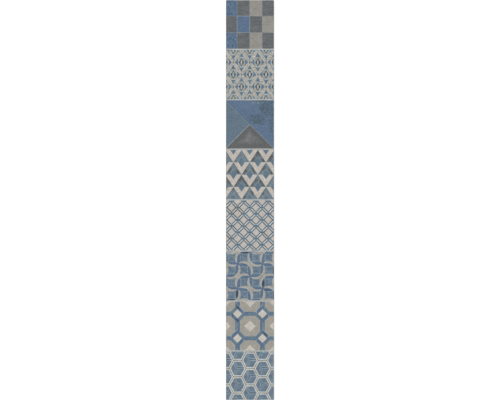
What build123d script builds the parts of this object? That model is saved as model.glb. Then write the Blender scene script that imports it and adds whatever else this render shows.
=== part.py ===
from build123d import *

import os
from math import floor

# Border tile: a long, narrow porcelain strip with a glazed face, ground edges and a keyed back.
# The strip lies on its back. The origin is the centre of the back, X runs across the strip,
# Y along it and Z out of the glazed face. All sizes are in millimetres.

# The strip
tile_length = 600.0
tile_width = 72.0
tile_thickness = 9.0
arris = 0.4  # width of the bevel ground round the glazed face

# The keyed back: shallow pockets, with a lattice of ribs left between them
pocket_side = 14.0  # at the back, where a pocket is widest
pocket_depth = 0.8
pocket_draft = 30.0  # lean of the pocket walls in degrees, so that the press die lets go
rib_width = 3.0
back_margin = 3.0  # least plain band between the pockets and the edges


def pockets_that_fit(room):
    """How many pockets and ribs go side by side into this much of the back."""
    return max(1, floor((room - 2 * back_margin + rib_width) / (pocket_side + rib_width)))


pocket_pitch = pocket_side + rib_width
pockets_across = pockets_that_fit(tile_width)
pockets_along = pockets_that_fit(tile_length)

with BuildPart() as border_tile:
    # The pressed body
    with BuildSketch():
        Rectangle(tile_width, tile_length)
    extrude(amount=tile_thickness)

    # The arris, ground round all four edges of the glazed face
    glazed_face = border_tile.faces().sort_by(Axis.Z)[-1]
    chamfer(glazed_face.edges(), length=arris)

    # The keying, sunk into the back so that the ribs stand flush with the plain band
    with BuildSketch():
        with GridLocations(pocket_pitch, pocket_pitch, pockets_across, pockets_along):
            Rectangle(pocket_side, pocket_side)
    extrude(amount=pocket_depth, taper=pocket_draft, mode=Mode.SUBTRACT)

border_tile.part.label = "border_tile"

os.makedirs("parts", exist_ok=True)
export_step(border_tile.part, "parts/border_tile.step")

print(f"{pockets_across} x {pockets_along} pockets at {pocket_pitch} mm")
print(f"volume {border_tile.part.volume / 1000:.1f} cm3")
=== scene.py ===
# %% [markdown]
# # A patchwork border tile
# The object is one strip of porcelain, pressed, printed, glazed and fired. Its face shows a column of
# eight square patterns with pale joints printed between them, its edges are ground, and its back is
# keyed with a lattice of ribs. Sizes could be typed in by hand, but the packed CAD part already holds
# the true size, so the lesson starts from it and asks it for every main measure.

import math
import random
from functools import partialmethod

import bpy
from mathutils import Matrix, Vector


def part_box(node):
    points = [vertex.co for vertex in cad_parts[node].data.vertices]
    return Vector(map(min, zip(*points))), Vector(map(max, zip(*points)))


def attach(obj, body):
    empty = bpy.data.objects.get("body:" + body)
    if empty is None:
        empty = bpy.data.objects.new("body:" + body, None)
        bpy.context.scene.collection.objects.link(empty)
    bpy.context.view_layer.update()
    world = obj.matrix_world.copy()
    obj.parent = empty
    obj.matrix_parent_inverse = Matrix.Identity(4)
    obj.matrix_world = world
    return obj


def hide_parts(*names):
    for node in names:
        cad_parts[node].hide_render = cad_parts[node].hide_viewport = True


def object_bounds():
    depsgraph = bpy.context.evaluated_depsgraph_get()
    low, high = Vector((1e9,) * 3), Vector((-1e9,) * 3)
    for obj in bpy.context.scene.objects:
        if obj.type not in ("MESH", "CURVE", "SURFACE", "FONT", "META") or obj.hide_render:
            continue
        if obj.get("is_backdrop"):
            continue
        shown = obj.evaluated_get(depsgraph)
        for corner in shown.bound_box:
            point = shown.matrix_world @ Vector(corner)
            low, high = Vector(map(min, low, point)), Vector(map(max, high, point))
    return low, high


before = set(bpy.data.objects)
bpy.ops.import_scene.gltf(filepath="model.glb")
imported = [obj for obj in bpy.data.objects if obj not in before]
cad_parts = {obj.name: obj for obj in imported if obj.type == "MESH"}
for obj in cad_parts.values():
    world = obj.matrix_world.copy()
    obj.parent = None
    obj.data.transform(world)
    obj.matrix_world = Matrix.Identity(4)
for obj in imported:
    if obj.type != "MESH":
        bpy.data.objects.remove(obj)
cad_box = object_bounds()
MM = 0.001
low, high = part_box("border_tile")
half_width = (high[0] - low[0]) / 2 / MM
half_length = (high[1] - low[1]) / 2 / MM
thickness = (high[2] - low[2]) / MM
print(f"strip of {2 * half_width:.1f} x {2 * half_length:.1f} x {thickness:.1f} mm")

# %% [markdown]
# ## Where the patterns meet
# The print is a column of squares about 75 mm long, with a pale printed joint between each two. Every
# step could work out the joints for itself, but one list of them, measured along the strip from its
# middle, keeps the mesh and the materials in step.

# %% Lay out the eight squares
joints = [226.0, 150.6, 76.2, 0.2, -76.5, -151.5, -226.4]
PAST_THE_END = 10.0
print_joints = [half_length + PAST_THE_END, *joints, -half_length - PAST_THE_END]
panel_ends = [half_length, *joints, -half_length]
panels = list(zip(panel_ends[:-1], panel_ends[1:]))
PANEL_NAMES = [
    "checkers", "trellis", "four triangles", "chevrons",
    "lattice", "woven arcs", "octagons", "hexagons",
]
for name, (upper, lower) in zip(PANEL_NAMES, panels):
    print(f"{name}: {upper - lower:.1f} mm long")

# %% [markdown]
# ## A place on the bake map
# When the tile is exported its colours are baked into one square picture. Blender can unwrap a mesh by
# itself, but a long strip would waste most of the square. So the face is cut into its eight squares, set
# side by side in two rows, and the back and the edges go below them. Scales are pixels to a millimetre.

# %% Draw up the map
MAP_SIZE = 1024
MAP_GAP = 8
FACE_SCALE = 3.3
BACK_SCALE = 2.85
EDGE_SCALE = 1.65
SQUARES_A_ROW = 4
LONGEST_SQUARE = 77
BACK_FOOT = 80
LONG_EDGE_ROOM = 24
SHORT_EDGE_FOOT = 56
SECOND_SHORT_EDGE = 200


def flat_piece(left, foot, scale):
    """Places points of a flat piece, measured from its lower left corner, on the map."""
    return lambda across, up: ((left + across * scale) / MAP_SIZE, (foot + up * scale) / MAP_SIZE)


# Each of these gives the places of corners on the map. Edges are unrolled from the face down.
def on_face(number):
    left = MAP_GAP + (number % SQUARES_A_ROW) * (2 * half_width * FACE_SCALE + MAP_GAP)
    foot = MAP_SIZE - (number // SQUARES_A_ROW + 1) * (LONGEST_SQUARE * FACE_SCALE + MAP_GAP)
    piece = flat_piece(left, foot, FACE_SCALE)
    lower = panels[number][1]
    return lambda x, y, z: piece(x + half_width, y - lower)


def on_long_edge(side):
    piece = flat_piece(MAP_GAP, MAP_GAP if side < 0 else MAP_GAP + LONG_EDGE_ROOM, EDGE_SCALE)
    return lambda x, y, z: piece(y + half_length, z + half_width - abs(x))


def on_short_edge(side):
    piece = flat_piece(MAP_GAP if side < 0 else SECOND_SHORT_EDGE, SHORT_EDGE_FOOT, EDGE_SCALE)
    return lambda x, y, z: piece(x + half_width, z + half_length - abs(y))


print(f"face at {FACE_SCALE} pixels to a millimetre, back at {BACK_SCALE}")

# %% [markdown]
# ## Clay in the press
# A tile starts as powder in a steel die. Its mesh could be cut out of a box with modifiers, but then
# Blender chooses the faces. Here each face names its corners in millimetres, its finish and its place on
# the map. Corners that meet are shared, so the tile comes out as one closed skin.

# %% Collect corners and faces
PRINT, EDGE, BACK = 0, len(panels), len(panels) + 1


class Clay:
    """The corners and faces of the tile, in millimetres."""

    def __init__(self):
        self.corners = {}
        self.faces = []
        self.finishes = []
        self.places = []

    def corner(self, point):
        """The number of a corner, a new one if no corner is there yet."""
        key = tuple(round(c, 5) for c in point)
        return self.corners.setdefault(key, len(self.corners))

    def face(self, points, finish, place, outward=True):
        """Adds a face, turned over unless its points make it look outward."""
        points = points if outward else points[::-1]
        self.faces.append([self.corner(point) for point in points])
        self.finishes.append(finish)
        self.places.extend(place(*point) for point in points)


clay = Clay()
print(f"finishes: print {PRINT} to {EDGE - 1}, edge {EDGE}, back {BACK}")

# %% [markdown]
# ## The keyed back
# The adhesive grips the tile by shallow square pockets between ribs. The CAD model has sharp corners;
# the press leaves every edge a little round. A bevel modifier could round them, but it meets the ribs
# unevenly. So each pocket is made of rings with the same number of points, from the flat rib over a soft
# rim and down a leaning wall to the floor, each joined to the next.

# %% Press the pockets
POCKET_PITCH = 17.0
POCKET_HALF = 7.0
POCKET_DEPTH = 0.8
WALL_LEAN = 0.46
SPARE_MARGIN = 3
POINTS_A_SIDE = 8
pockets_across = int((2 * half_width - SPARE_MARGIN) // POCKET_PITCH)
pockets_along = int((2 * half_length - SPARE_MARGIN) // POCKET_PITCH)
lattice_x = pockets_across * POCKET_PITCH / 2
lattice_y = pockets_along * POCKET_PITCH / 2
back_cut = lattice_y - (pockets_along // 2) * POCKET_PITCH


def square_ring(half, corner, z):
    """Points round a square with rounded corners, the same number for every ring."""
    ring = []
    for turn in range(4):
        for step in range(POINTS_A_SIDE):
            across = -half + 2 * half * step / POINTS_A_SIDE
            x, y = across, -half
            reach = half - corner
            if corner and abs(across) > reach:
                angle = (abs(across) - reach) / corner * math.pi / 4
                x = math.copysign(reach + corner * math.sin(angle), across)
                y = -reach - corner * math.cos(angle)
            for _ in range(turn):
                x, y = -y, x
            ring.append((x, y, z))
    return ring


def on_back(at_y):
    """The places of corners on the half of the back where at_y lies."""
    row = 0 if at_y < back_cut else 1
    start = back_cut if row else -half_length
    piece = flat_piece(MAP_GAP, BACK_FOOT + row * (2 * half_width * BACK_SCALE + MAP_GAP), BACK_SCALE)
    return lambda x, y, z: piece(y - start, x + half_width)


# Each ring has a half width, a corner radius and a height.
pocket_rings = [
    square_ring(POCKET_PITCH / 2, 0, 0),
    square_ring(POCKET_HALF + 0.15, 1.6, 0),
    square_ring(POCKET_HALF - 0.05, 1.5, 0.12),
    square_ring(POCKET_HALF - WALL_LEAN + 0.08, 1.3, POCKET_DEPTH - 0.12),
    square_ring(POCKET_HALF - WALL_LEAN - 0.15, 1.2, POCKET_DEPTH),
]
for row in range(pockets_along):
    for column in range(pockets_across):
        x0 = (column + 0.5) * POCKET_PITCH - lattice_x
        y0 = (row + 0.5) * POCKET_PITCH - lattice_y
        rings = [[(x0 + x, y0 + y, z) for x, y, z in ring] for ring in pocket_rings]
        for outer, inner in zip(rings, rings[1:]):
            for here in range(len(outer)):
                after = (here + 1) % len(outer)
                points = [outer[here], inner[here], inner[after], outer[after]]
                clay.face(points, BACK, on_back(y0))
        clay.face(rings[-1], BACK, on_back(y0), outward=False)
print(f"{pockets_across} x {pockets_along} pockets, {len(clay.faces)} faces")

# %% [markdown]
# ## The face and its ground arris
# The face is flat, with a narrow bevel, the arris, ground round it. No grinder keeps that perfectly
# even: it wanders a little, and here and there a grain breaks out. A bump could fake that, but it would
# be lost in the mesh, so three sines and some seeded nicks shape real geometry.

# %% Grind the arris
ARRIS = 0.4
# Each wave has a depth in millimetres, a pace and a start.
ARRIS_WAVES = [(0.05, 0.11, 0), (0.035, 0.37, 1), (0.02, 1.3, 0)]
NICKS = 46
NICK_REACH = (0.9, 2.4)
NICK_DEPTH = (0.05, 0.3)
chance = random.Random(11)
perimeter = 4 * (half_width + half_length)
nicks = []
for _ in range(NICKS):
    nicks.append((chance.uniform(0, perimeter), chance.uniform(*NICK_REACH), chance.uniform(*NICK_DEPTH)))


def arris_at(distance):
    """Width of the bevel at this distance round the tile."""
    waves = sum(depth * math.sin(distance * pace + start) for depth, pace, start in ARRIS_WAVES)
    bites = [deep * (1 - abs(distance - at) / reach) for at, reach, deep in nicks]
    return ARRIS + waves + max(0.0, *bites)


def rib_lines(lattice):
    """Lines through all points of the lattice."""
    step = POCKET_PITCH / POINTS_A_SIDE
    count = round(2 * lattice / step)
    return [-lattice + step * n for n in range(count + 1)]


ribs_x = rib_lines(lattice_x)
ribs_y = rib_lines(lattice_y)
lines_x = [-half_width, *ribs_x, half_width]
lines_y = sorted({-half_length, *ribs_y, *joints, half_length})


def rim_point(x, y, share=1, drop=0):
    """A grid point, drawn in from any edge it lies on by a share of the arris there."""
    width = 0
    if abs(x) == half_width:
        width = arris_at(y + half_length + (0 if x > 0 else 2 * half_length))
    if abs(y) == half_length:
        width = arris_at(x + half_width + 4 * half_length + (0 if y > 0 else 2 * half_width))
    if abs(x) == half_width:
        x -= math.copysign(share * width, x)
    if abs(y) == half_length:
        y -= math.copysign(share * width, y)
    return (x, y, thickness - drop * width)


for west, east in zip(lines_x, lines_x[1:]):
    for south, north in zip(lines_y, lines_y[1:]):
        number = next(n for n, (upper, lower) in enumerate(panels) if lower <= south < upper)
        corners = [(west, south), (east, south), (east, north), (west, north)]
        clay.face([rim_point(x, y) for x, y in corners], PRINT + number, on_face(number))
print(f"face of {len(lines_x) - 1} x {len(lines_y) - 1} squares")

# %% [markdown]
# ## Down the sides to the back
# From the arris the sides drop straight to the back, where the edge is eased by the sponge that cleans
# the pressed tile. A plain band joins that edge to the lattice of ribs. An extrusion would leave the
# band open where the lines of face and back don't match, so its faces take in whatever corners lie on
# their long sides, and the skin closes.

# %% Close the skin
BACK_EASE = 0.2
SHOULDER_IN = 0.32
SHOULDER_DROP = 0.36
ARRIS_DROP = 1.05


def section(x, y):
    """Points down the side at one place, from the face to the back."""
    ease_x = math.copysign(BACK_EASE, x) if abs(x) == half_width else 0
    ease_y = math.copysign(BACK_EASE, y) if abs(y) == half_length else 0
    return [
        rim_point(x, y),
        rim_point(x, y, SHOULDER_IN, SHOULDER_DROP),
        rim_point(x, y, 0, ARRIS_DROP),
        (x, y, thickness / 2),
        (x, y, BACK_EASE),
        (x - ease_x, y - ease_y, 0),
    ]


def wall(edge_line, outward, place):
    """Faces down the side along one edge of the tile."""
    for here, after in zip(edge_line, edge_line[1:]):
        near, far = section(*here), section(*after)
        for step in range(len(near) - 1):
            points = [near[step], far[step], far[step + 1], near[step + 1]]
            clay.face(points, EDGE, place, outward)


def back_edge(x, y):
    """The point where the eased edge reaches the back."""
    return section(x, y)[-1]


for side in (-1, 1):
    wall([(side * half_width, y) for y in lines_y], side < 0, on_long_edge(side))
    wall([(x, side * half_length) for x in lines_x], side > 0, on_short_edge(side))
    for start, stop in zip(ribs_y, ribs_y[1:]):
        points = [(side * lattice_x, stop, 0), (side * lattice_x, start, 0)]
        points += [back_edge(side * half_width, y) for y in lines_y if start <= y <= stop]
        clay.face(points, BACK, on_back(start), side < 0)
    for start, stop in zip(ribs_x, ribs_x[1:]):
        points = [(start, side * lattice_y, 0), (stop, side * lattice_y, 0)]
        points += [back_edge(stop, side * half_length), back_edge(start, side * half_length)]
        clay.face(points, BACK, on_back(side * lattice_y), side < 0)
    for end in (-1, 1):
        points = [
            (side * lattice_x, end * lattice_y, 0),
            back_edge(side * half_width, end * lattice_y),
            back_edge(side * half_width, end * half_length),
            back_edge(side * lattice_x, end * half_length),
        ]
        clay.face(points, BACK, on_back(end * lattice_y), side * end < 0)
print(f"{len(clay.corners)} corners, {len(clay.faces)} faces")

# %% [markdown]
# ## From clay to a Blender object
# `from_pydata` turns the corners and faces into a mesh. Flat shading would show every facet of the soft
# rims, and smooth shading alone would blur the ground edges. So the faces are smooth, and every edge
# sharper than 30 degrees is marked sharp.

# %% Make the tile
SHARP_ANGLE = math.radians(30)
mesh = bpy.data.meshes.new("patchwork_tile")
mesh.from_pydata([tuple(c * MM for c in corner) for corner in clay.corners], [], clay.faces)
mesh.uv_layers.new(name="OFBake").data.foreach_set("uv", [c for place in clay.places for c in place])
mesh.polygons.foreach_set("material_index", clay.finishes)
mesh.polygons.foreach_set("use_smooth", [True] * len(clay.faces))
mesh.set_sharp_from_angle(angle=SHARP_ANGLE)
tile = bpy.data.objects.new("patchwork_tile", mesh)
bpy.context.scene.collection.objects.link(tile)
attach(tile, "root")
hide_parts("border_tile")
print(f"{tile.name}: {len(mesh.vertices)} corners, valid {not mesh.validate()}")

# %% [markdown]
# ## Sums made of nodes
# A printed pattern is geometry on a flat sheet, so it can be written as sums: how far is this point from
# a line, is it inside that diamond. Blender does such sums with Math nodes. Hundreds of them wired by
# hand are hard to read, so a small class lets ordinary Python sums place and join the nodes.

# %% Write sums that become Math nodes
class Sum:
    """A number that changes over the face, held by one socket of a node tree."""

    def __init__(self, socket):
        self.socket = socket
        self.tree = socket.id_data

    def step(self, operation, *others, clamp=False):
        """One Math node, with this number as its first term."""
        node = self.tree.nodes.new("ShaderNodeMath")
        node.operation = operation
        node.use_clamp = clamp
        for socket, term in zip(node.inputs, (self, *others)):
            if isinstance(term, Sum):
                self.tree.links.new(term.socket, socket)
            else:
                socket.default_value = term
        return Sum(node.outputs[0])

    # Each of these is one such node.
    __add__ = partialmethod(step, "ADD")
    __sub__ = partialmethod(step, "SUBTRACT")
    __mul__ = partialmethod(step, "MULTIPLY")
    __truediv__ = partialmethod(step, "DIVIDE")
    size = partialmethod(step, "ABSOLUTE")
    sign = partialmethod(step, "SIGN")
    floor = partialmethod(step, "FLOOR")
    lesser = partialmethod(step, "MINIMUM")
    greater = partialmethod(step, "MAXIMUM")
    below = partialmethod(step, "LESS_THAN")
    remainder = partialmethod(step, "MODULO")

    def __rsub__(self, other):
        return (self * -1) + other

    def equals(self, count):
        """1 where a count is this whole number."""
        return (self - count).size().below(0.5)

    def fold(self, period):
        """Distance from the nearest multiple of the period."""
        return self.step("PINGPONG", period / 2)

    def wrap(self, period):
        """Signed distance from the nearest multiple of the period."""
        return self.step("WRAP", period / 2, -period / 2)

    def inside(self, edge, soft=0.35):
        """1 under the edge and 0 past it, with a soft printed border."""
        return (self - edge).mask(-1 / soft, 0.5)

    def between(self, start, stop, soft=0.35):
        return self.inside(stop, soft) * (1 - self.inside(start, soft))

    def near(self, middle, half, soft=0.35):
        """1 no further than half from the middle."""
        return (self - middle).size().inside(half, soft)

    def mask(self, gain, level=0.0):
        """The number times the gain plus the level, held between 0 and 1."""
        return self.step("MULTIPLY_ADD", gain, level, clamp=True)

    def choose(self, yes, no):
        """yes where this is 1, no where it is 0."""
        return no + (yes - no) * self


def diamond(across, up, wide, high):
    """0 in the middle of a diamond and 1 on its edge, from its half width and height."""
    return across / wide + up / high


def triangle(across, up, foot, wide, high, soft):
    """A mask of the upper half of a diamond that stands at the height of its foot."""
    return diamond(across, up - foot, wide, high).inside(1, soft) * (foot - up).inside(0)


print(f"{len(vars(Sum))} names in Sum")

# %% [markdown]
# ## Inks
# The makers used few inks: blues, charcoal, stone and a warm cream, with a pale grey for the joints.
# Colours are read from a screen in steps of 255, and Blender wants light in straight proportion. Such
# numbers could be typed in, but nobody can picture them. So a helper converts the colours, and takes off
# the thin veil of white that the sheen of the glaze lays over every ink. Two more lay ink over ink.

# %% Mix the inks
VEIL = 0.03
MIX_UNDER, MIX_OVER, MIX_RESULT = 6, 7, 2


def ink(red, green, blue):
    """A colour as seen through the glaze, as Blender's linear colour under it."""
    steps = [c / 255 for c in (red, green, blue)]
    seen = [c / 12.92 if c <= 0.04045 else ((c + 0.055) / 1.055) ** 2.4 for c in steps]
    return tuple(max(c - VEIL, 0.0) for c in seen) + (1.0,)


def paint(under, over, mask):
    """Lays one ink over another where the mask is 1. Inks are colours or sockets."""
    tree = mask.tree
    node = tree.nodes.new("ShaderNodeMix")
    node.data_type = "RGBA"
    tree.links.new(mask.socket, node.inputs["Factor"])
    for place, colour in ((MIX_UNDER, under), (MIX_OVER, over)):
        if isinstance(colour, tuple):
            node.inputs[place].default_value = colour
        else:
            tree.links.new(colour, node.inputs[place])
    return node.outputs[MIX_RESULT]


def layers(coats):
    """Lays coats over each other, each an ink and its mask. The first has no mask."""
    colour = None
    for over, mask in coats:
        colour = over if mask is None else paint(colour, over, mask)
    return colour


print("a mid grey under the glaze:", [round(c, 3) for c in ink(128, 128, 128)[:3]])

# %% [markdown]
# ## Stains
# Old tiles are stained, and the print copies that with blotches of charcoal. Noise alone would put them
# anywhere. So each blotch is a soft ellipse with its own place and size, and two layers of noise only
# fray it.

# %% Fray the stains
def noise(place, scale, detail=2.0, roughness=0.5):
    """Cloudy noise round 0, with features of about 1 / scale millimetres."""
    node = place.id_data.nodes.new("ShaderNodeTexNoise")
    for label, value in (("Scale", scale), ("Detail", detail), ("Roughness", roughness)):
        node.inputs[label].default_value = value
    place.id_data.links.new(place, node.inputs["Vector"])
    return Sum(node.outputs[0]) - 0.5


def stretched(place, share_x, share_y):
    """The place squeezed along x or y, which draws noise out into streaks."""
    node = place.id_data.nodes.new("ShaderNodeVectorMath")
    node.operation = "MULTIPLY"
    node.inputs[1].default_value = (share_x, share_y, 1.0)
    place.id_data.links.new(place, node.inputs[0])
    return node.outputs[0]


def stains(x, y, place, spots, fray, strength):
    """A mask of frayed ellipses, each (x, y, half width, half height) in millimetres."""
    cover = None
    for at_x, at_y, reach_x, reach_y in spots:
        over_x = (x - at_x) / reach_x
        over_y = (y - at_y) / reach_y
        spot = 1 - (over_x * over_x + over_y * over_y)
        cover = spot if cover is None else cover.greater(spot)
    ragged = cover + (noise(place, 0.2, 2) * 0.4 + noise(place, 0.6, 2)) * fray
    return ragged.mask(strength)


print("stains ready")

# %% [markdown]
# ## The look of age
# The patterns imitate old cement tiles: the inks are cloudy and finely grained, and drift a little
# between warm and cool. Each square could have its own noise nodes, but all eight share the look, so it
# is one node group, with sockets for how strong each part is. A group hands out a colour only, and each
# material keeps its own shader.

# %% Build the aged print group
def new_group(name, inputs, outputs):
    """An empty shader group with named sockets, and its inner ends."""
    group = bpy.data.node_groups.new(name, "ShaderNodeTree")
    for way, sockets in (("INPUT", inputs), ("OUTPUT", outputs)):
        for label, kind in sockets.items():
            group.interface.new_socket(label, in_out=way, socket_type="NodeSocket" + kind)
    return group, group.nodes.new("NodeGroupInput").outputs, group.nodes.new("NodeGroupOutput").inputs


aged, given, made = new_group(
    "Aged print",
    {"Print": "Color", "Place": "Vector", "Cloud": "Float", "Grain": "Float", "Drift": "Float"},
    {"Colour": "Color"},
)
cloud = noise(given["Place"], 0.11, 4, 0.6) * Sum(given["Cloud"])
grain = noise(given["Place"], 0.42, 3, 0.65) * Sum(given["Grain"])
light = (cloud + grain) * 2 + 1
warm = noise(given["Place"], 0.23, 4, 0.7) * Sum(given["Drift"])
balance = aged.nodes.new("ShaderNodeCombineXYZ")
for channel, share in (("X", light + warm), ("Y", light), ("Z", light - warm)):
    aged.links.new(share.socket, balance.inputs[channel])
tinted = aged.nodes.new("ShaderNodeVectorMath")
tinted.operation = "MULTIPLY"
aged.links.new(given["Print"], tinted.inputs[0])
aged.links.new(balance.outputs[0], tinted.inputs[1])
aged.links.new(tinted.outputs[0], made["Colour"])
print(f"{aged.name}: {len(aged.nodes)} nodes")

# %% [markdown]
# ## The fired surface
# A matt glaze is not mirror smooth: under a lens it is a fine orange peel, and its gloss drifts from
# place to place. Bare porcelain is alike, only duller. Relief this fine would take millions of faces, so
# a group gives a height for a bump, and a roughness round the level that it is told.

# %% Build the fired surface group
fired, given, made = new_group(
    "Fired surface",
    {"Place": "Vector", "Dullness": "Float"},
    {"Roughness": "Float", "Height": "Float"},
)
peel = noise(given["Place"], 0.9, 2) + noise(given["Place"], 0.2, 2)
uneven = noise(given["Place"], 0.05, 3) * 0.2 + Sum(given["Dullness"])
fired.links.new(uneven.socket, made["Roughness"])
fired.links.new(peel.socket, made["Height"])
print(f"{fired.name}: {len(fired.nodes)} nodes")

# %% [markdown]
# ## The printed joint
# Every square ends in half of a pale joint. It could be a strip of faces with a material of its own, but
# it is only ink, so the distance to the nearer of the square's two joints gives a mask. A slow noise
# added to that distance lets the joint wander a little, as grout does.

# %% Build the joint group
joint, given, made = new_group(
    "Printed joint",
    {"Place": "Vector", "Along": "Float", "Upper": "Float", "Lower": "Float", "Reach": "Float"},
    {"Mask": "Float"},
)
along = Sum(given["Along"])
gap = (along - Sum(given["Upper"])).size().lesser((along - Sum(given["Lower"])).size())
gap = gap + noise(given["Place"], 0.15, 2) * 0.7
joint.links.new(gap.inside(Sum(given["Reach"]), 0.8).socket, made["Mask"])
print(f"{joint.name}: {len(joint.nodes)} nodes")

# %% [markdown]
# ## A fired material
# The printed face, the ground edge and the bare back are one body, fired together. Each gets a material
# of its own, because their colours differ, but all are wired alike: a place, a colour and the fired
# surface. Generated coordinates would stretch with the strip, so the place is read from the object
# itself, in millimetres.

# %% Wire a fired material
SHEEN = 0.25


def place_group(tree, group, **values):
    """Puts a shared group into a material, with numbers and links for its sockets."""
    node = tree.nodes.new("ShaderNodeGroup")
    node.node_tree = group
    for label, value in values.items():
        socket = node.inputs[label]
        if isinstance(value, bpy.types.NodeSocket):
            tree.links.new(value, socket)
        else:
            socket.default_value = value
    return node.outputs


def finish_surface(tree, colour, place, dullness, bump):
    """Wires a colour and the fired surface into the shader, with bumps in millimetres."""
    shader = tree.nodes["Principled BSDF"]
    surface = place_group(tree, fired, Place=place, Dullness=dullness)
    relief = tree.nodes.new("ShaderNodeBump")
    relief.inputs["Distance"].default_value = bump * MM
    tree.links.new(colour, shader.inputs["Base Color"])
    tree.links.new(surface["Roughness"], shader.inputs["Roughness"])
    tree.links.new(surface["Height"], relief.inputs["Height"])
    tree.links.new(relief.outputs[0], shader.inputs["Normal"])
    shader.inputs["Specular IOR Level"].default_value = SHEEN


def new_material(name):
    """Adds a material to the tile. Gives its node tree and the place in millimetres."""
    material = bpy.data.materials.new(name)
    material.use_nodes = True
    mesh.materials.append(material)
    tree = material.node_tree
    scaled = tree.nodes.new("ShaderNodeVectorMath")
    scaled.operation = "SCALE"
    scaled.inputs["Scale"].default_value = 1 / MM
    tree.links.new(tree.nodes.new("ShaderNodeTexCoord").outputs["Object"], scaled.inputs[0])
    return tree, scaled.outputs[0]


print(f"specular level {SHEEN}")

# %% [markdown]
# ## A square of print
# All eight squares are set up alike: measure in millimetres from the square's own centre, draw the
# pattern, lay the joint over it, age it, and glaze it. One big material could hold all eight, but no one
# could read it. Only the drawing differs, so each square below writes one function of a place (x to the
# right, y up), which yields its inks from the lowest up, each with a mask of where it lies.

# %% Set up one square
JOINT = ink(176, 178, 177)
JOINT_HALF = 1.0
GLAZE_DULLNESS = 0.56
GLAZE_BUMP = 0.012


def print_square(number, draw, centre, cloud=0.28, grain=0.4, drift=0.3):
    """Makes the material of one square from its drawing."""
    tree, place = new_material(PANEL_NAMES[number])
    axes = tree.nodes.new("ShaderNodeSeparateXYZ")
    tree.links.new(place, axes.inputs[0])
    x, y = Sum(axes.outputs["X"]), Sum(axes.outputs["Y"])
    colour = layers(draw(x - centre[0], y - centre[1], place))
    upper, lower = print_joints[number:number + 2]
    seam = place_group(tree, joint, Place=place, Along=y.socket, Upper=upper, Lower=lower, Reach=JOINT_HALF)
    colour = paint(colour, JOINT, Sum(seam["Mask"]))
    old = place_group(tree, aged, Print=colour, Place=place, Cloud=cloud, Grain=grain, Drift=drift)
    finish_surface(tree, old["Colour"], place, GLAZE_DULLNESS, GLAZE_BUMP)
    print(f"{PANEL_NAMES[number]}: {len(tree.nodes)} nodes")


print(f"joints {2 * JOINT_HALF} mm wide")

# %% [markdown]
# ## Checkers
# Four columns and three rows of plain cells, set off by pale hairlines. Blender's Checker Texture knows
# only two colours, so the cells are counted instead: the order blue, charcoal, stone, charcoal shifts by
# one column in every second row. The blue of the first column is worn, and the charcoal is brushed from
# side to side.

# %% Draw the checkers
CHECK_WIDE = 18.75
CHECK_HIGH = 24.8
COLUMNS = 4
ROWS = 3


def draw_checkers(x, y, place):
    column = (x / CHECK_WIDE).floor() + COLUMNS / 2
    row = (y * (-1 / CHECK_HIGH) + ROWS / 2).floor()
    turn = (column - row.remainder(2) + COLUMNS).remainder(COLUMNS)
    yield ink(101, 104, 106), None
    yield ink(95, 114, 138), turn.equals(0)
    worn = turn.equals(0) * column.equals(0)
    streaks = noise(stretched(place, 1.0, 0.5), 0.42, 2)
    yield ink(68, 90, 102), streaks.mask(7.0, -0.4) * worn
    yield ink(136, 152, 160), streaks.mask(-8.0, -0.9) * worn
    brushed = noise(stretched(place, 0.2, 1.0), 0.36, 3).mask(4.0, 0.2)
    yield ink(117, 120, 122), brushed * turn.remainder(2).equals(1) * 0.7
    yield ink(147, 145, 139), turn.equals(2)
    gap = x.fold(CHECK_WIDE).lesser((y - CHECK_HIGH / 2).fold(CHECK_HIGH))
    framed = x.near(-CHECK_WIDE / 2, CHECK_WIDE / 2 + 1) * y.size().inside(CHECK_HIGH / 2 + 1)
    yield ink(148, 160, 168), gap.inside(0.4, 0.5) * (framed * 0.4 + 0.38)


print_square(0, draw_checkers, (-0.5, 263.5), cloud=0.2, grain=0.5)

# %% [markdown]
# ## Trellis
# A trellis of cream bands, with four blue triangles round a pale heart in every opening. The heart has
# charcoal wings at its sides and tips above and below. Every motif could be placed by itself, but folding
# x and y about the lattice brings every opening onto one, and one corner of it stands for all four.

# %% Draw the trellis
TRELLIS_X = 12.29
TRELLIS_Y = 18.37
TRELLIS_GROUND = ink(157, 160, 156)


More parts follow.
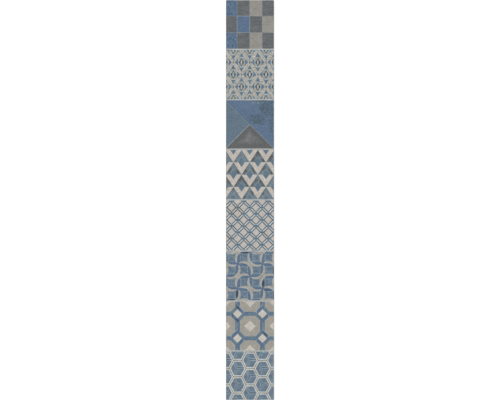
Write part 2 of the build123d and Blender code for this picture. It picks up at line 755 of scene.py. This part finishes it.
def draw_trellis(x, y, place):
    a, b = x.fold(2 * TRELLIS_X), y.fold(2 * TRELLIS_Y)
    own = diamond(a, b, TRELLIS_X, TRELLIS_Y).below(1)
    a, b = own.choose(a, TRELLIS_X - a), own.choose(b, TRELLIS_Y - b)
    reach = diamond(a, b, TRELLIS_X, TRELLIS_Y)
    yield TRELLIS_GROUND, None
    yield ink(143, 141, 137), reach.between(0.7, 0.77, 0.06) * 0.5
    yield ink(174, 176, 173), (1 - reach).inside(0.23, 0.06)
    yield ink(172, 167, 158), (1 - reach).inside(0.1, 0.08)
    yield ink(170, 178, 181), b.near(7.0, 0.8) * a.inside(2.4, 1)
    yield ink(164, 173, 177), a.near(4.7, 0.6) * b.inside(2.6, 1)
    tall = triangle(a, b, foot=7.9, wide=3.4, high=6.7, soft=0.12)
    broad = triangle(b, a, foot=5.3, wide=4.6, high=5.1, soft=0.12)
    yield ink(98, 119, 135), tall.greater(broad)
    yield ink(112, 119, 124), diamond(a, b, 4.0, 6.8).inside(1, 0.1)
    wing = triangle(b, a, foot=1.3, wide=2.8, high=3.1, soft=0.15)
    tip = triangle(a, b, foot=3.4, wide=1.2, high=3.1, soft=0.2)
    yield ink(64, 68, 80), wing
    yield ink(72, 76, 78), tip * 0.9
    yield ink(178, 181, 177), diamond(a, b, 1.6, 4.3).inside(1, 0.2)
    knot = diamond(TRELLIS_X - a, b, 1.1, 2.8).lesser(diamond(a, TRELLIS_Y - b, 1.1, 2.8))
    yield ink(108, 112, 120), knot.inside(1, 0.4)
    worn = noise(place, 0.2, 2).mask(3.0) * 0.35
    faded_ends = (31 - y.size()).inside(0, 2) * 0.15
    yield TRELLIS_GROUND, worn.greater(faded_ends)


print_square(1, draw_trellis, (-0.5, 188.2), cloud=0.16, grain=1.0, drift=0.6)

# %% [markdown]
# ## Four triangles
# The square is cut along its diagonals: slate at the foot, smoky blue at the left, and one blue over the
# other two, stained, smeared and worn to glints near the top. Pale hairlines follow three of the half
# diagonals. Four faces with four materials would do for the colours, but not for the hairlines;
# comparing x with y does for both.

# %% Draw the four triangles
TRIANGLE_STAINS = [
    (19.0, 35.4, 20.0, 2.8), (27.0, 25.0, 14.0, 15.0), (35.5, 10.0, 9.0, 24.0), (12.0, 8.0, 14.0, 8.0),
    (6.0, 12.0, 9.0, 4.0),
]
TRIANGLE_SMEARS = [
    (18.3, 23.5, 3.6, 9.5), (3.5, 6.0, 5.0, 2.2), (10.0, 3.4, 6.0, 2.6), (17.0, 1.0, 6.0, 2.2),
]


def draw_triangles(x, y, place):
    stain = stains(x, y, place, TRIANGLE_STAINS, fray=5.0, strength=0.85)
    yield ink(97, 116, 139), None
    yield ink(79, 93, 104), stain * 0.85
    sparks = noise(place, 0.55, 1).mask(12.0, -1.3)
    yield ink(132, 149, 158), sparks * stain * 0.8
    smear = stains(x, y, place, TRIANGLE_SMEARS, fray=2.2, strength=1.1)
    yield ink(80, 96, 100), smear * 0.7
    glints = noise(place, 0.7, 1).mask(12.0, -0.4) * y.near(32.6, 1.4, 0.8) * x.near(12, 9, 2)
    yield ink(146, 160, 166), glints * 0.75
    shade = (x + y).between(0.6, 2.2, 0.8) * x.inside(2, 4)
    yield ink(80, 97, 112), shade * 0.55
    yield ink(102, 118, 132), (x + y.size()).inside(0)
    foot = y + x.size()
    brushed = noise(stretched(place, 0.35, 1.0), 0.2, 4, 0.65).mask(2.6, 0.35)
    heart = foot.inside(-12, 12) * (-28 - y).inside(0, 6)
    slate = paint(ink(95, 97, 97), ink(133, 135, 139), (brushed * 0.7 + 0.3) * (heart * 0.8 + 0.15))
    yield slate, foot.inside(0)
    line = (x.size() - y.size()).size()
    left, right = x.inside(0), (0 - x).inside(0)
    under, over = y.inside(0), (0 - y).inside(0)
    yield ink(160, 167, 171), line.inside(0.55, 0.5) * under * left * 0.9
    yield ink(150, 158, 163), line.inside(0.5, 0.5) * under * right * 0.7
    yield ink(132, 147, 158), line.inside(0.5, 0.5) * left * over * 0.65


print_square(2, draw_triangles, (-0.45, 113.5), cloud=0.16, grain=0.45)

# %% [markdown]
# ## Chevrons
# Rows of stained triangles with a blue diamond at the foot of each. The cream between them is left as a
# row of V shapes. Each triangle could be a shape of its own, but the rows only differ by a shift of half
# a triangle, so a fold and the row's number draw them all.

# %% Draw the chevrons
CHEVRON_ROW = 18.53
CHEVRON_HALF = 12.2
DIAMOND_HALF = 4.8
DIAMOND_HIGH = 7.2
EVEN_START = 10
CHEVRON_STAINS = [
    (12.6, 30.5, 5.5, 7.0), (5.3, 22.0, 6.0, 3.8), (20.3, 21.5, 6.0, 3.8), (32.5, 24.0, 6.0, 6.5),
    (-18.5, 3.5, 5.5, 4.5), (-31.0, 6.5, 4.8, 5.0), (7.5, 6.8, 4.2, 7.0), (-7.5, 4.8, 6.0, 4.5),
    (20.5, 10.5, 4.5, 6.5), (32.0, 3.8, 5.0, 4.5), (-32.5, -11.0, 6.5, 9.0), (-12.3, -6.8, 6.0, 8.0),
    (-4.5, -14.5, 4.8, 4.5), (-19.5, -14.5, 6.0, 4.5), (9.5, -9.8, 4.0, 5.0), (18.0, -13.0, 5.0, 5.5),
    (3.0, -16.0, 5.0, 3.5), (19.8, -28.5, 3.0, 2.6), (-8.0, -34.0, 3.5, 3.0), (-24.5, -21.0, 2.2, 2.2),
    (4.0, -27.0, 3.0, 4.5),
]


def draw_chevrons(x, y, place):
    row = (y / CHEVRON_ROW).floor()
    up = y - row * CHEVRON_ROW
    shift = (row + EVEN_START).remainder(2) * CHEVRON_HALF
    a = (x - shift).fold(2 * CHEVRON_HALF)
    slope = diamond(a, up, CHEVRON_HALF, CHEVRON_ROW)
    foot = diamond(a, up, DIAMOND_HALF, DIAMOND_HIGH)
    head = diamond(CHEVRON_HALF - a, CHEVRON_ROW - up, DIAMOND_HALF, DIAMOND_HIGH)
    speckle = noise(place, 0.5, 3, 0.6).mask(5.0, 0.2)
    fill = paint(ink(118, 133, 143), ink(109, 117, 121), speckle)
    fill = paint(fill, ink(146, 159, 168), foot.between(1.08, 1.28, 0.1) * 0.4)
    along_slopes = (1 - slope).inside(0.38, 0.3) * 0.7 + 0.3
    stain = stains(x, y, place, CHEVRON_STAINS, fray=4.2, strength=1.6)
    fill = paint(fill, ink(82, 79, 74), stain * along_slopes * (speckle * 0.6 + 0.6))
    fill = paint(fill, ink(92, 96, 98), (1 - slope).inside(0.12, 0.1) * 0.4)
    yield ink(188, 184, 178), None
    yield ink(196, 184, 173), slope.between(1.2, 1.45, 0.15) * 0.7
    yield ink(186, 187, 184), slope.inside(1.09, 0.08)
    yield fill, slope.inside(1.0, 0.05)
    yield ink(100, 119, 134), foot.lesser(head).inside(1, 0.1)


print_square(3, draw_chevrons, (-0.5, 38.1), cloud=0.16, grain=0.55, drift=0.4)

# %% [markdown]
# ## Lattice
# Two sets of slanting bands, each a pair of blue lines on pale ground, cross over a cream field, with a
# dark spot on every crossing. Turning the drawing would slant it, but the bands don't cross at right
# angles. So x and y are added up into two slanting counts, in which each set is a row of straight lines.

# %% Draw the lattice
LATTICE_X = 18.4
LATTICE_Y = 18.61
BAND = 0.129
BAND_LINE = 0.054
LATTICE_STAINS = [(-22.0, 24.0, 14.0, 11.0), (-33.0, -20.0, 6.0, 6.0), (24.0, -10.0, 7.0, 5.0)]


def draw_lattice(x, y, place):
    rising = (x / LATTICE_X - y / LATTICE_Y - 0.5).wrap(1)
    falling = (x / LATTICE_X + y / LATTICE_Y - 0.5).wrap(1)
    p, q = falling.size(), rising.size()
    strip = paint(ink(192, 195, 194), ink(183, 185, 180), p.below(q))
    yield ink(188, 183, 177), None
    yield strip, p.lesser(q).inside(BAND, 0.03)
    lines = (p - BAND).size().lesser((q - BAND).size())
    dashes = noise(place, 0.35, 2).mask(4.0, 0.4)
    thread = paint(ink(62, 87, 108), ink(87, 106, 123), dashes)
    thread = paint(thread, ink(66, 72, 72), stains(x, y, place, LATTICE_STAINS, fray=3.0, strength=1.5))
    yield thread, lines.inside(BAND_LINE, 0.03)
    yield ink(150, 166, 175), p.greater(q).inside(BAND, 0.05) * 0.7
    across, upward = (rising + falling).size(), (falling - rising).size()
    post = across.inside(0.13, 0.1) * upward.inside(0.34, 0.1)
    yield ink(128, 150, 165), post * 0.65
    bar = across.inside(0.22, 0.16) * upward.inside(0.09, 0.08)
    yield ink(94, 114, 135), bar * 0.45
    spot = across.inside(0.1, 0.07) * upward.inside(0.12, 0.08)
    yield ink(54, 59, 54), spot * (dashes * 0.5 + 0.5)


print_square(4, draw_lattice, (-0.2, -39.2), cloud=0.2, grain=0.5, drift=0.5)

# %% [markdown]
# ## Woven arcs
# Smoky squares with a band woven between them that swings from blue to cream and back. The squares are
# hollowed on the cream side, and a thin pale rim parts them from the blue. Around each blue crossing the
# four arms turn like a pinwheel, and the next one turns the other way. Arcs drawn as circles would need
# many centres, so every place is first moved to its own crossing, mirrored at every second one, and one
# curve draws all the arms.

# %% Draw the woven arcs
WEAVE = 18.58
LEAF_TOP = 0.17
HOLLOW = 0.24
RIM = (0.2, 0.245)
ARC_STAINS = [
    (-7.5, 36.0, 5.5, 2.2), (19.5, -10.5, 2.6, 6.0), (27.0, -22.0, 7.5, 2.6), (-19.5, -27.0, 2.6, 7.0),
    (-28.5, -36.0, 8.0, 2.6), (35.5, 9.0, 2.6, 7.0), (35.5, -27.0, 2.6, 7.0),
]


def draw_arcs(at_x, at_y, place):
    x, y = at_x / WEAVE, at_y / WEAVE
    even_x, even_y = x.wrap(2), y.wrap(2)
    even = (even_x.size() + even_y.size()).below(1)
    dx = even.choose(even_x, (x - 1).wrap(2))
    dy = even.choose(even_y, (y - 1).wrap(2))
    upright = dx.size().below(dy.size())
    far = dx.size().greater(dy.size())
    side = upright.choose(dy.sign() * dx, dx.sign() * dy * -1) * (1 - even * 2)
    swing = far * far * 0.59 - far * 0.38
    stain = stains(at_x, at_y, place, ARC_STAINS, fray=1.8, strength=1.5)
    blue = paint(ink(95, 115, 138), ink(62, 76, 88), stain)
    top = (far * 0.76 + 0.07).lesser(LEAF_TOP)
    leaf = (swing - side).inside(0, 0.03) * (side - top).inside(0, 0.03) * far.inside(0.8, 0.05)
    yield ink(159, 157, 150), None
    yield ink(169, 170, 167), (swing - side).between(0, 0.12, 0.06) * 0.7
    yield blue, leaf.greater(far.inside(0.09, 0.04))
    patches = noise(place, 0.25, 3, 0.6).mask(4.0, 0.5)
    smoky = paint(ink(96, 114, 129), ink(114, 132, 149), patches)
    hollow = HOLLOW - (far - 0.5) * (far - 0.5) * 0.6
    yield smoky, (top - side).lesser(side + hollow).inside(0, 0.03)
    rim = side.between(*RIM, 0.03) * far.between(0.2, 0.8, 0.05)
    yield ink(140, 158, 168), rim * (patches * 0.5 + 0.45)


print_square(5, draw_arcs, (0.18, -114.5), grain=0.6, drift=0.5)

# %% [markdown]
# ## Octagons
# Stone octagons with a cream diamond at heart, framed by blue bands. The bands meet in a ring round a
# small cream diamond, where the frames of the octagons beside the middle one pass over the others. Each
# frame could be drawn by itself, but folding about the small diamond makes one quarter stand for all,
# and the signs of two distances tell which strip lies on top.

# %% Draw the octagons
OCTAGON_X = 37.45
OCTAGON_Y = 36.8
UPRIGHT_HALF = 3.5
LEVEL_HALF = 3.1
RING_REACH = 13.8
SMALL_DIAMOND = 6.85
HEART_DIAMOND = 8.4
OCTAGON_STROKES = [
    (9.2, -47.5, 2.8, 10.0), (-9.7, -42.9, 1.8, 2.6), (-10.2, -28.0, 2.6, 5.5), (10.6, 35.0, 1.9, 7.5),
]


def draw_bands(x, y, a, b, edge, over, patches, place):
    """The inks of the blue bands, with edge as the distance from their borders."""
    inward = x.size() - OCTAGON_X / 2
    ring = (a + b - RING_REACH).inside(0)
    upright = (1 - ring) * (a - UPRIGHT_HALF).inside(0)
    streaks = noise(stretched(place, 1.0, 0.2), 0.4, 2).mask(3.0, 0.5)
    yield ink(94, 115, 134), None
    yield ink(116, 134, 146), streaks * 0.8
    yield ink(80, 102, 129), edge.size().inside(1.0, 0.8) * 0.5
    yield ink(80, 99, 124), inward.between(-3.7, -1.7, 0.7) * upright * 0.9
    yield ink(120, 138, 148), inward.between(-0.6, 2.4, 0.8) * upright * 0.5
    yield ink(106, 127, 139), ring * (1 - over) * 0.4
    strip = over.choose(a + b, b - a).between(SMALL_DIAMOND, RING_REACH)
    yield ink(86, 106, 136), strip * 0.55
    cut_end = a.near(9.3, 0.6, 0.5) * b.near(2.4, 1.4, 0.6)
    yield ink(146, 163, 173), cut_end * over * (patches * 0.5 + 0.5)
    yield ink(70, 81, 88), stains(x + y, x - y, place, OCTAGON_STROKES, fray=2.6, strength=1.0)


def draw_octagons(x, y, place):
    a = (x - OCTAGON_X / 2).fold(OCTAGON_X)
    b = (y - OCTAGON_Y / 2).fold(OCTAGON_Y)
    outward = y.size() - OCTAGON_Y / 2
    over = ((x.size() - OCTAGON_X / 2) * outward).below(0)
    edge = (a + b - RING_REACH).lesser((a - UPRIGHT_HALF).lesser(b - LEVEL_HALF))
    patches = noise(place, 0.09, 2).mask(5.0, 0.5)
    yield ink(160, 157, 149), None
    yield ink(152, 149, 142), edge.between(3.2, 4.0, 0.8) * 0.6
    yield layers(draw_bands(x, y, a, b, edge, over, patches, place)), edge.inside(0)
    upper = (outward * y * -1).below(0)
    outline = (a + b).near(RING_REACH, 0.7, 0.5) * (b - LEVEL_HALF).inside(11.5)
    outline = outline * (a - UPRIGHT_HALF).inside(7.5) * upper * (over * 0.7 + 0.3)
    yield ink(153, 166, 174), outline * (patches * 0.5 + 0.5)
    yield ink(150, 160, 164), edge.size().inside(0.5, 0.6) * 0.3
    heart = (OCTAGON_X / 2 - a) + (OCTAGON_Y / 2 - b)
    yield ink(195, 189, 181), heart.inside(HEART_DIAMOND)
    yield ink(196, 191, 182), (a + b).inside(SMALL_DIAMOND)


print_square(6, draw_octagons, (0.0, -189.1), cloud=0.2, drift=0.5)

# %% [markdown]
# ## Hexagons
# Flat-topped hexagons, brushed in blue, with a pale outline that has a tan thread down its middle. A
# Voronoi texture could make the cells, but not of an exact size. So two folded lattices, one set between
# the other, give the distance to the nearest hexagon. The brush went along three spokes, from the middle
# to every second corner, and left ripples of light and dark beside them: a cosine of the distance from
# the nearest spoke.

# %% Draw the hexagons
HEXAGON_X = 18.65
HEXAGON_Y = 24.55
HEXAGON_FILL = 0.815
BRUSH_GAP = 2.6
SPOKE_X, SPOKE_Y = 0.893, 0.451
SPREAD_LEFT = 1.3
SPREAD_RIGHT = 1.7


def hexagon(a, b):
    """0 in the middle of a hexagon and 1 on its edge."""
    return (b / (HEXAGON_Y / 2)).greater(diamond(a, b, HEXAGON_X * 2 / 3, HEXAGON_Y))


def draw_brush(right, rise, place):
    """The inks of one hexagon's fill, measured from its middle."""
    flecks = noise(place, 0.5, 2).mask(9.0, -1.2)
    yield ink(107, 124, 139), None
    yield ink(84, 98, 109), flecks * 0.8
    patchy = noise(place, 0.1, 2).mask(3.0, 0.7)
    spoke = right * SPOKE_X + rise.size() * SPOKE_Y
    spread = (spoke * -SPREAD_LEFT).greater((spoke * SPREAD_RIGHT).lesser(rise.size()))
    wobble = noise(place, 0.25, 2) * 0.7
    brush = ((spread + wobble) * (2 * math.pi / BRUSH_GAP)).step("COSINE")
    below_right = (rise + 0.8).inside(0, 0.6) * (rise.size() - spoke * SPREAD_RIGHT).inside(0, 0.6)
    brush = brush * spread.inside(3.4, 1) * patchy * (1 - below_right * 0.8)
    yield ink(158, 174, 185), brush.mask(1.4)
    yield ink(76, 89, 99), brush.mask(-1.2)
    brush_end = rise.near(1.2, 0.6, 0.5) * right.near(2.2, 2.6, 1)
    yield ink(58, 68, 74), brush_end * patchy * 0.75


def draw_hexagons(x, y, place):
    first = hexagon(x.fold(2 * HEXAGON_X), y.fold(HEXAGON_Y))
    second = hexagon((x - HEXAGON_X).fold(2 * HEXAGON_X), (y - HEXAGON_Y / 2).fold(HEXAGON_Y))
    reach = first.lesser(second)
    own = first.below(second)
    right = own.choose(x.wrap(2 * HEXAGON_X), (x - HEXAGON_X).wrap(2 * HEXAGON_X))
    rise = own.choose(y.wrap(HEXAGON_Y), (y - HEXAGON_Y / 2).wrap(HEXAGON_Y))
    yield ink(195, 197, 193), None
    yield layers(draw_brush(right, rise, place)), reach.inside(HEXAGON_FILL, 0.05)
    yield ink(118, 117, 115), (1 - reach).inside(0.042, 0.03)


print_square(7, draw_hexagons, (0.05, -265.05), grain=0.7, drift=0.4)

# %% [markdown]
# ## Ground edges
# The edges carry no glaze. The wheel that grinds them true runs along the tile and leaves fine lines. A
# Wave Texture would give lines too, but all alike. Noise squeezed hard along x and y, but not in height,
# turns into uneven ones, and dark specks of the body show between them.

# %% Make the ground edge
EDGE_SQUEEZE = 0.02
edge_tree, edge_place = new_material("ground porcelain")
wheel_lines = noise(stretched(edge_place, EDGE_SQUEEZE, EDGE_SQUEEZE), 1.6, 3, 0.6)
slow_change = noise(edge_place, 0.06, 3)
edge_colour = paint(ink(122, 120, 115), ink(148, 145, 140), (wheel_lines + slow_change).mask(2.2, 0.5))
specks = noise(edge_place, 1.1, 1).mask(14.0, -3.2)
edge_colour = paint(edge_colour, ink(92, 90, 86), specks * 0.7)
finish_surface(edge_tree, edge_colour, edge_place, dullness=0.68, bump=0.02)
print(f"ground porcelain: {len(edge_tree.nodes)} nodes")

# %% [markdown]
# ## The chalky back
# The back is bare too. Before firing it is dusted with a white wash, so that it doesn't stick to the
# kiln rollers, and the wash rubs into the ribs more than into the pockets. Ribs and pockets could have
# two materials, but the wash has no sharp border, so height tells them apart: the ribs lie at 0, the
# pocket floors a little above it.

# %% Make the back
back_tree, back_place = new_material("chalky back")
back_axes = back_tree.nodes.new("ShaderNodeSeparateXYZ")
back_tree.links.new(back_place, back_axes.inputs[0])
on_ribs = Sum(back_axes.outputs["Z"]).inside(POCKET_DEPTH / 2, POCKET_DEPTH)
wash = noise(back_place, 0.05, 4, 0.6) * 2.4 + noise(back_place, 0.5, 3, 0.7) * 1.2
back_colour = paint(ink(130, 125, 118), ink(182, 178, 171), (wash + on_ribs * 0.5).mask(1.0, 0.15))
finish_surface(back_tree, back_colour, back_place, dullness=0.82, bump=0.05)
print(f"{len(mesh.materials)} materials on the tile")

# %% [markdown]
# ## The floor
# The tile lies on a white floor, as in a catalogue. More lamps would whiten the floor, but bleach the
# tile as well. So the floor adds a little light of its own to what the camera sees, and still takes the
# tile's shadow. Light Path tells these rays from the light that falls on the tile.

# %% Lay the floor
FLOOR_SIZE = 30
FLOOR_GAP = 0.0003
FLOOR_GREY = (0.8, 0.8, 0.8, 1)
FLOOR_GLOW = 0.42


def seen_directly(tree):
    """1 for rays from the camera, a reflection or clear glass, 0 for all other light."""
    path = tree.nodes.new("ShaderNodeLightPath")
    seen = Sum(path.outputs["Is Camera Ray"]).greater(Sum(path.outputs["Is Glossy Ray"]))
    return seen.greater(Sum(path.outputs["Is Transmission Ray"]))


bpy.ops.mesh.primitive_plane_add(size=FLOOR_SIZE, location=(0, 0, low[2] - FLOOR_GAP))
floor = bpy.context.object
floor.name = "floor"
floor_material = bpy.data.materials.new("white floor")
floor_material.use_nodes = True
nodes, links = floor_material.node_tree.nodes, floor_material.node_tree.links
nodes.clear()
matt = nodes.new("ShaderNodeBsdfDiffuse")
matt.inputs["Color"].default_value = FLOOR_GREY
glow = nodes.new("ShaderNodeEmission")
links.new((seen_directly(floor_material.node_tree) * FLOOR_GLOW).socket, glow.inputs["Strength"])
both = nodes.new("ShaderNodeAddShader")
links.new(matt.outputs[0], both.inputs[0])
links.new(glow.outputs[0], both.inputs[1])
links.new(both.outputs[0], nodes.new("ShaderNodeOutputMaterial").inputs["Surface"])
floor.data.materials.append(floor_material)
floor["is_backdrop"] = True
print(f"floor {FLOOR_SIZE} m wide")

# %% [markdown]
# ## Light
# Catalogue light is soft and even. Lamps all round would give it, but a bright sky does the same with
# less work, and one broad lamp from the upper left adds a gentle direction, so that the arris and the
# ribs read. Together they come to about 1, at which a colour renders as it is written. To the camera the
# sky is plain white.

# %% Light the tile
SKY = 0.64
LAMP_SIZE = 2.4
LAMP_WATTS = 82
LAMP_PLACE = (-0.35, 0.25, 4.5)
world = bpy.data.worlds.new("studio")
bpy.context.scene.world = world
world.use_nodes = True
sky = world.node_tree.nodes["Background"]
sky.inputs["Color"].default_value = (1, 1, 1, 1)
sky_light = seen_directly(world.node_tree) * (1 - SKY) + SKY
world.node_tree.links.new(sky_light.socket, sky.inputs["Strength"])

lamp_data = bpy.data.lights.new("broad lamp", "AREA")
lamp_data.shape = "SQUARE"
lamp_data.size = LAMP_SIZE
lamp_data.energy = LAMP_WATTS
lamp = bpy.data.objects.new("broad lamp", lamp_data)
lamp.location = LAMP_PLACE
lamp.rotation_euler = (-lamp.location).to_track_quat("-Z", "Y").to_euler()
bpy.context.scene.collection.objects.link(lamp)
print(f"sky {SKY}, lamp {LAMP_WATTS} W")

# %% [markdown]
# ## The camera
# The photograph looks straight down on the strip and shows just its length: 400 rows of pixels for 600
# mm. The camera could be moved by eye until that fits. But the frame is 500 by 400, so 750 mm wide, and
# lens and sensor give the height that sees just that much of the face.

# %% Set the camera
FRAME_PIXELS = (500, 400)
LENS = 100.0
SENSOR = 36.0
frame_width = 2 * half_length * MM * FRAME_PIXELS[0] / FRAME_PIXELS[1]
camera_data = bpy.data.cameras.new("camera")
camera_data.lens = LENS
camera_data.sensor_width = SENSOR
camera = bpy.data.objects.new("camera", camera_data)
camera.location = (0, 0, high[2] + frame_width * LENS / SENSOR)
bpy.context.scene.collection.objects.link(camera)
bpy.context.scene.camera = camera
bpy.context.scene.view_settings.view_transform = "Standard"
print(f"camera {camera.location.z:.3f} m up, frame {frame_width / MM:.0f} mm wide")

# %% [markdown]
# ## The size
# The dressed tile must fill the same box as the CAD part. A look can't tell that, so both boxes are
# printed.

# %% Print both boxes
boxes = {"cad": cad_box, "visual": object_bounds()}
{name: [[float(c) for c in corner] for corner in box] for name, box in boxes.items()}
print("boxes in metres:", boxes)
